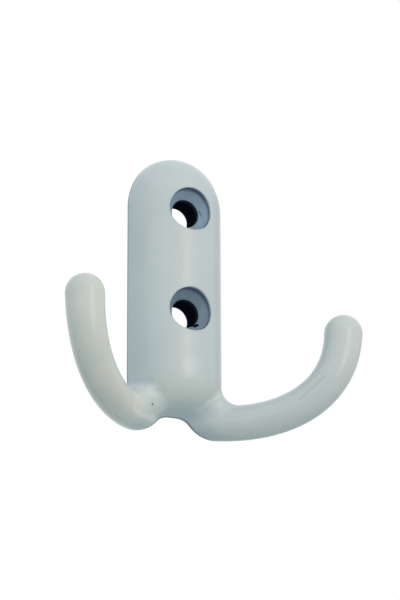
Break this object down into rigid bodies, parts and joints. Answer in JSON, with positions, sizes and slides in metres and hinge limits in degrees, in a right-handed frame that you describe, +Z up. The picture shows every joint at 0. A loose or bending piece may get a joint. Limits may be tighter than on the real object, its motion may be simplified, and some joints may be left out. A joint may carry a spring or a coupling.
{
  "type": "double coat hook",
  "caption": "Wall-mounted coat hook, a half-round cast plate with countersunk screw holes and a pair of upswept round prongs for coats, towels and bags.",
  "frame": {"origin": "on the flat back, halfway between the two screw holes; the back lies in the plane y = 0", "axes": "+Z up, -Y out of the wall towards the user, +X to the right as seen from the front"},
  "size_m": [0.0568, 0.0212, 0.0527],
  "materials": {
    "coat_hook": "satin light grey powder coat on a zinc die casting"
  },
  "bodies": {
    "root": {"coat_hook": "coat_hook"}
  },
  "joints": []
}
